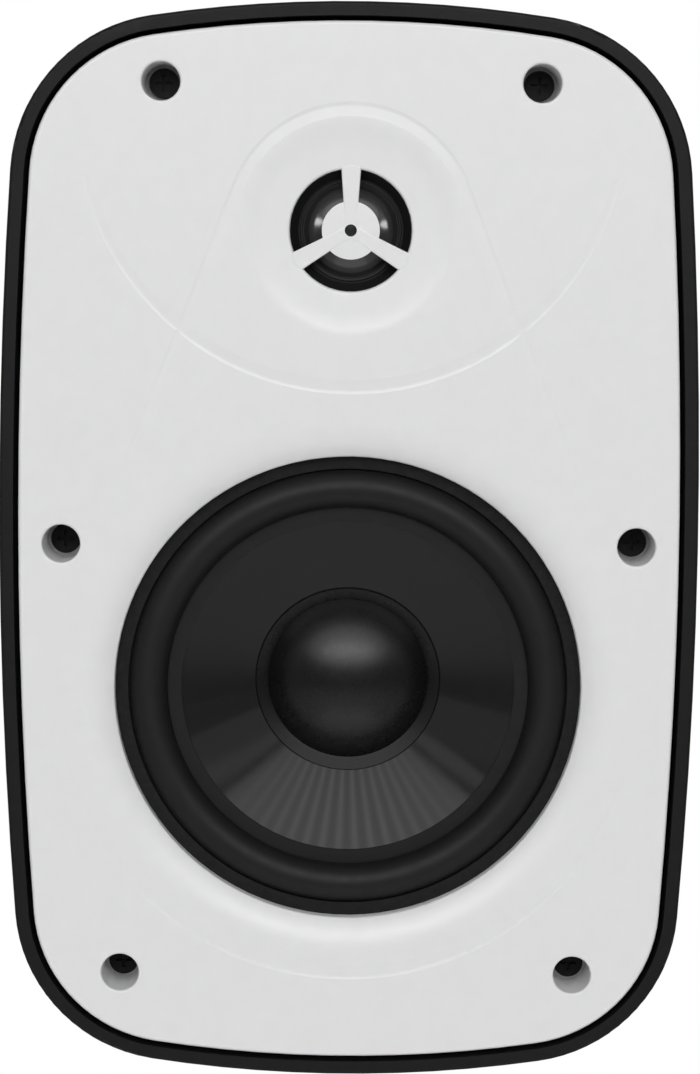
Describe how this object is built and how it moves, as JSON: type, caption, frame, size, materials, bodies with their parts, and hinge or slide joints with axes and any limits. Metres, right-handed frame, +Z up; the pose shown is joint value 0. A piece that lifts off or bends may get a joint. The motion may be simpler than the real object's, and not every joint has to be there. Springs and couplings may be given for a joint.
{
  "type": "wall speaker",
  "caption": "Two-way wall speaker: black tapered cabinet, white moulded front with a guarded tweeter dish, a woofer and deep screw wells, rear bolt pattern and terminal cup.",
  "frame": {"origin": "middle of the rear bolt pattern, on the flat rear face", "axes": "+Z up, +Y out of the rear face towards the wall, the front faces -Y, +X to the right of someone looking at the front"},
  "size_m": [0.222, 0.2, 0.343],
  "materials": {
    "baffle_white": "satin moulded plastic",
    "cabinet_black": "fine-textured moulded plastic",
    "seal_black": "closed-cell foam",
    "surround_black": "matt rubber",
    "cone_black": "ribbed woven sheet",
    "dust_cap_black": "smooth satin",
    "spider_cloth": "treated cloth",
    "former_aluminium": "plain foil",
    "copper_wire": "enamelled winding",
    "basket_black": "powder coat",
    "pole_steel": "zinc plated",
    "ferrite": "ground ferrite",
    "screw_black": "black oxide",
    "brass": "machined",
    "tag_fibre": "fibre board",
    "tweeter_black": "moulded plastic",
    "dome_black": "coated silk",
    "board_green": "glass-filled board",
    "capacitor_yellow": "film sleeve",
    "resistor_white": "cement",
    "cup_black": "moulded plastic",
    "cap_red": "moulded plastic",
    "cap_black": "moulded plastic"
  },
  "bodies": {
    "enclosure": {"cabinet": "cabinet_black", "mount_inserts": "brass", "baffle": "baffle_white", "tweeter_guard": "baffle_white", "baffle_gasket": "seal_black", "baffle_screws": "screw_black", "woofer_gasket": "seal_black", "woofer_surround": "surround_black", "woofer_spider": "spider_cloth", "woofer_basket": "basket_black", "woofer_screws": "screw_black", "woofer_top_plate": "pole_steel", "woofer_magnet": "ferrite", "woofer_yoke": "pole_steel", "woofer_tag_strip": "tag_fibre", "tweeter_gasket": "seal_black", "tweeter_faceplate": "tweeter_black", "tweeter_screws": "screw_black", "tweeter_surround": "dome_black", "tweeter_top_plate": "pole_steel", "tweeter_magnet": "ferrite", "tweeter_yoke": "pole_steel", "crossover_board": "board_green", "crossover_screws": "screw_black", "crossover_inductors": "copper_wire", "crossover_capacitors": "capacitor_yellow", "crossover_resistors": "resistor_white", "terminal_cup": "cup_black", "terminal_gasket": "seal_black", "terminal_screws": "screw_black", "post_negative": "brass", "post_positive": "brass", "post_nuts": "brass"},
    "woofer_diaphragm": {"woofer_cone": "cone_black", "woofer_dust_cap": "dust_cap_black", "woofer_coil_former": "former_aluminium", "woofer_coil": "copper_wire"},
    "tweeter_diaphragm": {"tweeter_dome": "dome_black", "tweeter_coil": "copper_wire"},
    "sleeve_negative": {"cap_sleeve_negative": "brass"},
    "knob_negative": {"cap_negative": "cap_black"},
    "sleeve_positive": {"cap_sleeve_positive": "brass"},
    "knob_positive": {"cap_positive": "cap_red"}
  },
  "joints": [
    {"name": "woofer_stroke", "type": "slide", "parent": "enclosure", "child": "woofer_diaphragm", "axis": [0, -1, 0], "range_m": [-0.005, 0.005], "stiffness_N_per_m": 1480, "deforming": ["woofer_surround", "woofer_spider"]},
    {"name": "tweeter_stroke", "type": "slide", "parent": "enclosure", "child": "tweeter_diaphragm", "axis": [0, -1, 0], "range_m": [-0.0004, 0.0004], "stiffness_N_per_m": 3000, "deforming": ["tweeter_surround"]},
    {"name": "cap_rise_negative", "type": "slide", "parent": "enclosure", "child": "sleeve_negative", "axis": [0, 1, 0], "range_m": [0, 0.0024]},
    {"name": "cap_turn_negative", "type": "hinge", "parent": "sleeve_negative", "child": "knob_negative", "pos_m": [-0.0095, -0.014, -0.088], "axis": [0, 1, 0], "range_deg": [0, 1080]},
    {"name": "cap_rise_positive", "type": "slide", "parent": "enclosure", "child": "sleeve_positive", "axis": [0, 1, 0], "range_m": [0, 0.0024]},
    {"name": "cap_turn_positive", "type": "hinge", "parent": "sleeve_positive", "child": "knob_positive", "pos_m": [0.0095, -0.014, -0.088], "axis": [0, 1, 0], "range_deg": [0, 1080]}
  ],
  "couplings": [
    {"joint": "cap_turn_negative", "follows": "cap_rise_negative", "rad_per_m": 7854},
    {"joint": "cap_turn_positive", "follows": "cap_rise_positive", "rad_per_m": 7854}
  ]
}
